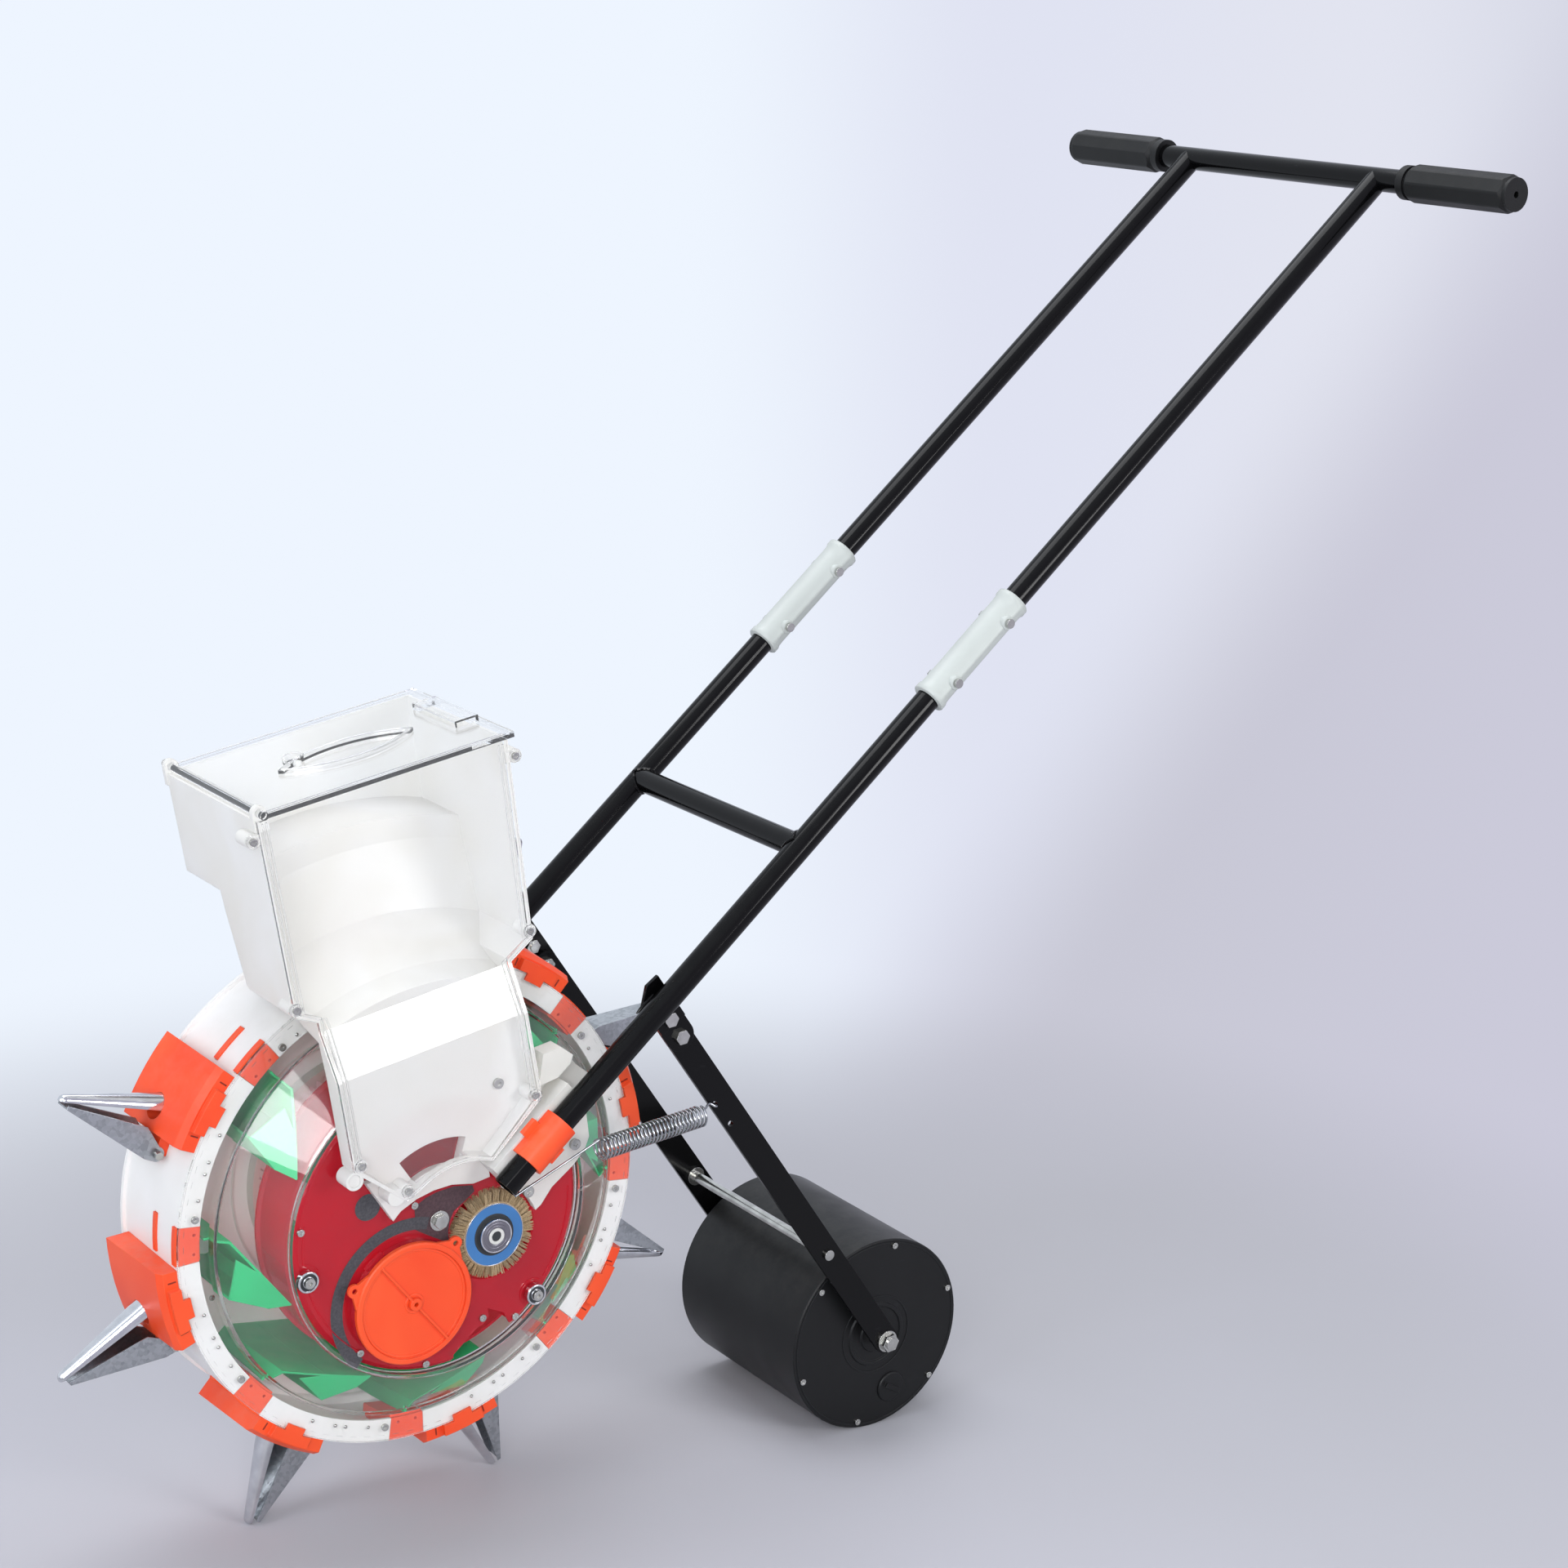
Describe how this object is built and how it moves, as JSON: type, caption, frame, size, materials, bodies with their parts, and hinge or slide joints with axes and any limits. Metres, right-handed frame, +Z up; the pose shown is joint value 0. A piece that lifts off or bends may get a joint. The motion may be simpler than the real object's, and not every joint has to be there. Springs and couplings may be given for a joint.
{
  "type": "hand corn planter",
  "caption": "Hand-pushed duckbill seed planter: spiked seeding wheel, clear seed hopper, long double-tube handle with T-bar grips and a sprung press roller.",
  "frame": {"origin": "middle of the footprint on the floor, with the planter parked on its spikes and roller", "axes": "+X back towards the handle's grips, +Y to the far side, away from the clear cover, +Z up"},
  "size_m": [1.257, 0.594, 1.194],
  "materials": {
    "ivory_plastic": "warm white polypropylene, slightly translucent at the edges",
    "orange_plastic": "bright orange-red polypropylene",
    "green_plastic": "bright green polypropylene",
    "clear_red_plastic": "deep red translucent plastic",
    "clear_plastic": "water-clear polycarbonate",
    "gear_plastic": "natural acetal",
    "blue_plastic": "blue moulded plastic",
    "tan_bristle": "tan nylon bristle",
    "chrome_steel": "bright plated pressed steel",
    "galvanised_steel": "spangled galvanised sheet",
    "zinc_steel": "bright zinc-plated fasteners",
    "spring_steel": "bright nickel-plated spring wire",
    "black_steel": "glossy black powder-coated steel",
    "black_rubber": "satin black moulded grip",
    "black_plastic": "satin black blow-moulded plastic"
  },
  "bodies": {
    "chassis": {"seed_chamber": "clear_red_plastic", "chamber_screws": "zinc_steel", "wheel_axle": "zinc_steel", "guide_bolts": "zinc_steel", "hopper_body": "ivory_plastic", "hopper_front_panel": "clear_plastic", "hopper_screws": "zinc_steel", "bracket_near": "ivory_plastic", "bracket_far": "ivory_plastic", "tube_clamps": "orange_plastic", "clamp_screws": "zinc_steel", "lower_tube_near": "black_steel", "lower_tube_far": "black_steel", "cross_bar": "black_steel", "joining_sleeves": "ivory_plastic", "sleeve_bolts": "zinc_steel", "upper_tube_near": "black_steel", "upper_tube_far": "black_steel", "t_bar": "black_steel", "grips": "black_rubber", "yoke_brackets": "black_steel", "pivot_bolts": "zinc_steel", "tension_spring": "spring_steel"},
    "drum": {"drum_shell": "ivory_plastic", "ring_gear": "gear_plastic", "side_cover": "clear_plastic", "drum_screws": "zinc_steel", "duckbill_seats": "orange_plastic", "seed_blocks": "orange_plastic", "fixed_beaks": "chrome_steel", "beak_pins": "zinc_steel", "seed_scoops": "green_plastic"},
    "flap_1": {"flap_1": "galvanised_steel"},
    "flap_2": {"flap_2": "galvanised_steel"},
    "flap_3": {"flap_3": "galvanised_steel"},
    "flap_4": {"flap_4": "galvanised_steel"},
    "flap_5": {"flap_5": "galvanised_steel"},
    "flap_6": {"flap_6": "galvanised_steel"},
    "flap_7": {"flap_7": "galvanised_steel"},
    "flap_8": {"flap_8": "galvanised_steel"},
    "metering": {"seed_roller": "gear_plastic", "metering_gear": "gear_plastic"},
    "brush": {"brush_disc": "blue_plastic", "brush_bristles": "tan_bristle", "brush_gear": "gear_plastic"},
    "guide_a": {"guide_bearing_a": "zinc_steel"},
    "guide_b": {"guide_bearing_b": "zinc_steel"},
    "guide_c": {"guide_bearing_c": "zinc_steel"},
    "cap": {"metering_cap": "orange_plastic"},
    "lid": {"hopper_lid": "clear_plastic"},
    "yoke": {"yoke_arm_near": "black_steel", "yoke_arm_far": "black_steel", "stay_rod": "zinc_steel", "roller_axle": "zinc_steel"},
    "roller": {"roller_shell": "black_plastic", "roller_ends": "black_plastic", "roller_screws": "zinc_steel", "fill_plug": "black_plastic"}
  },
  "joints": [
    {"name": "drum_spin", "type": "hinge", "parent": "chassis", "child": "drum", "pos_m": [-0.33146, 0, 0.29652], "axis": [0, -1, 0], "continuous": true},
    {"name": "flap_1_open", "type": "hinge", "parent": "drum", "child": "flap_1", "pos_m": [-0.22524, 0.009, 0.09591], "axis": [0, -1, 0], "range_deg": [0, 25], "stiffness_Nm_per_rad": 0.2, "springref_deg": -28.65},
    {"name": "flap_2_open", "type": "hinge", "parent": "drum", "child": "flap_2", "pos_m": [-0.11449, 0.009, 0.22978], "axis": [0, -1, 0], "range_deg": [0, 25], "stiffness_Nm_per_rad": 0.2, "springref_deg": -28.65},
    {"name": "flap_3_open", "type": "hinge", "parent": "drum", "child": "flap_3", "pos_m": [-0.13084, 0.009, 0.40274], "axis": [0, -1, 0], "range_deg": [0, 25], "stiffness_Nm_per_rad": 0.2, "springref_deg": -28.65},
    {"name": "flap_4_open", "type": "hinge", "parent": "drum", "child": "flap_4", "pos_m": [-0.26471, 0.009, 0.51349], "axis": [0, -1, 0], "range_deg": [0, 25], "stiffness_Nm_per_rad": 0.2, "springref_deg": -28.65},
    {"name": "flap_5_open", "type": "hinge", "parent": "drum", "child": "flap_5", "pos_m": [-0.43768, 0.009, 0.49714], "axis": [0, -1, 0], "range_deg": [0, 25], "stiffness_Nm_per_rad": 0.2, "springref_deg": -28.65},
    {"name": "flap_6_open", "type": "hinge", "parent": "drum", "child": "flap_6", "pos_m": [-0.54843, 0.009, 0.36327], "axis": [0, -1, 0], "range_deg": [0, 25], "stiffness_Nm_per_rad": 0.2, "springref_deg": -28.65},
    {"name": "flap_7_open", "type": "hinge", "parent": "drum", "child": "flap_7", "pos_m": [-0.53207, 0.009, 0.1903], "axis": [0, -1, 0], "range_deg": [0, 25], "stiffness_Nm_per_rad": 0.2, "springref_deg": -28.65},
    {"name": "flap_8_open", "type": "hinge", "parent": "drum", "child": "flap_8", "pos_m": [-0.39821, 0.009, 0.07956], "axis": [0, -1, 0], "range_deg": [0, 25], "stiffness_Nm_per_rad": 0.2, "springref_deg": -28.65},
    {"name": "metering_turn", "type": "hinge", "parent": "chassis", "child": "metering", "pos_m": [-0.35827, -0.08, 0.23051], "axis": [0, -1, 0], "continuous": true},
    {"name": "brush_turn", "type": "hinge", "parent": "chassis", "child": "brush", "pos_m": [-0.28039, -0.08, 0.2761], "axis": [0, -1, 0], "continuous": true},
    {"name": "guide_a_spin", "type": "hinge", "parent": "chassis", "child": "guide_a", "pos_m": [-0.45539, -0.08, 0.267], "axis": [0, -1, 0], "continuous": true},
    {"name": "guide_b_spin", "type": "hinge", "parent": "chassis", "child": "guide_b", "pos_m": [-0.23589, -0.08, 0.21227], "axis": [0, -1, 0], "continuous": true},
    {"name": "guide_c_spin", "type": "hinge", "parent": "chassis", "child": "guide_c", "pos_m": [-0.28643, -0.08, 0.4157], "axis": [0, -1, 0], "continuous": true},
    {"name": "cap_twist", "type": "hinge", "parent": "chassis", "child": "cap", "pos_m": [-0.35827, -0.099, 0.23051], "axis": [0, -1, 0], "range_deg": [0, 25]},
    {"name": "lid_open", "type": "hinge", "parent": "chassis", "child": "lid", "pos_m": [-0.51034, 0, 0.67153], "axis": [0, -1, 0], "range_deg": [0, 110]},
    {"name": "yoke_swing", "type": "hinge", "parent": "chassis", "child": "yoke", "pos_m": [-0.11349, 0, 0.43599], "axis": [0, -1, 0], "range_deg": [-12, 15], "stiffness_Nm_per_rad": 120, "springref_deg": -4.3, "deforming": ["tension_spring"]},
    {"name": "roller_spin", "type": "hinge", "parent": "yoke", "child": "roller", "pos_m": [0.14339, 0, 0.0949], "axis": [0, -1, 0], "continuous": true}
  ],
  "couplings": [
    {"joint": "metering_turn", "follows": "drum_spin", "ratio": 4},
    {"joint": "brush_turn", "follows": "drum_spin", "ratio": 2.375},
    {"joint": "guide_a_spin", "follows": "drum_spin", "ratio": 14.442},
    {"joint": "guide_b_spin", "follows": "drum_spin", "ratio": 14.442},
    {"joint": "guide_c_spin", "follows": "drum_spin", "ratio": 14.442}
  ]
}
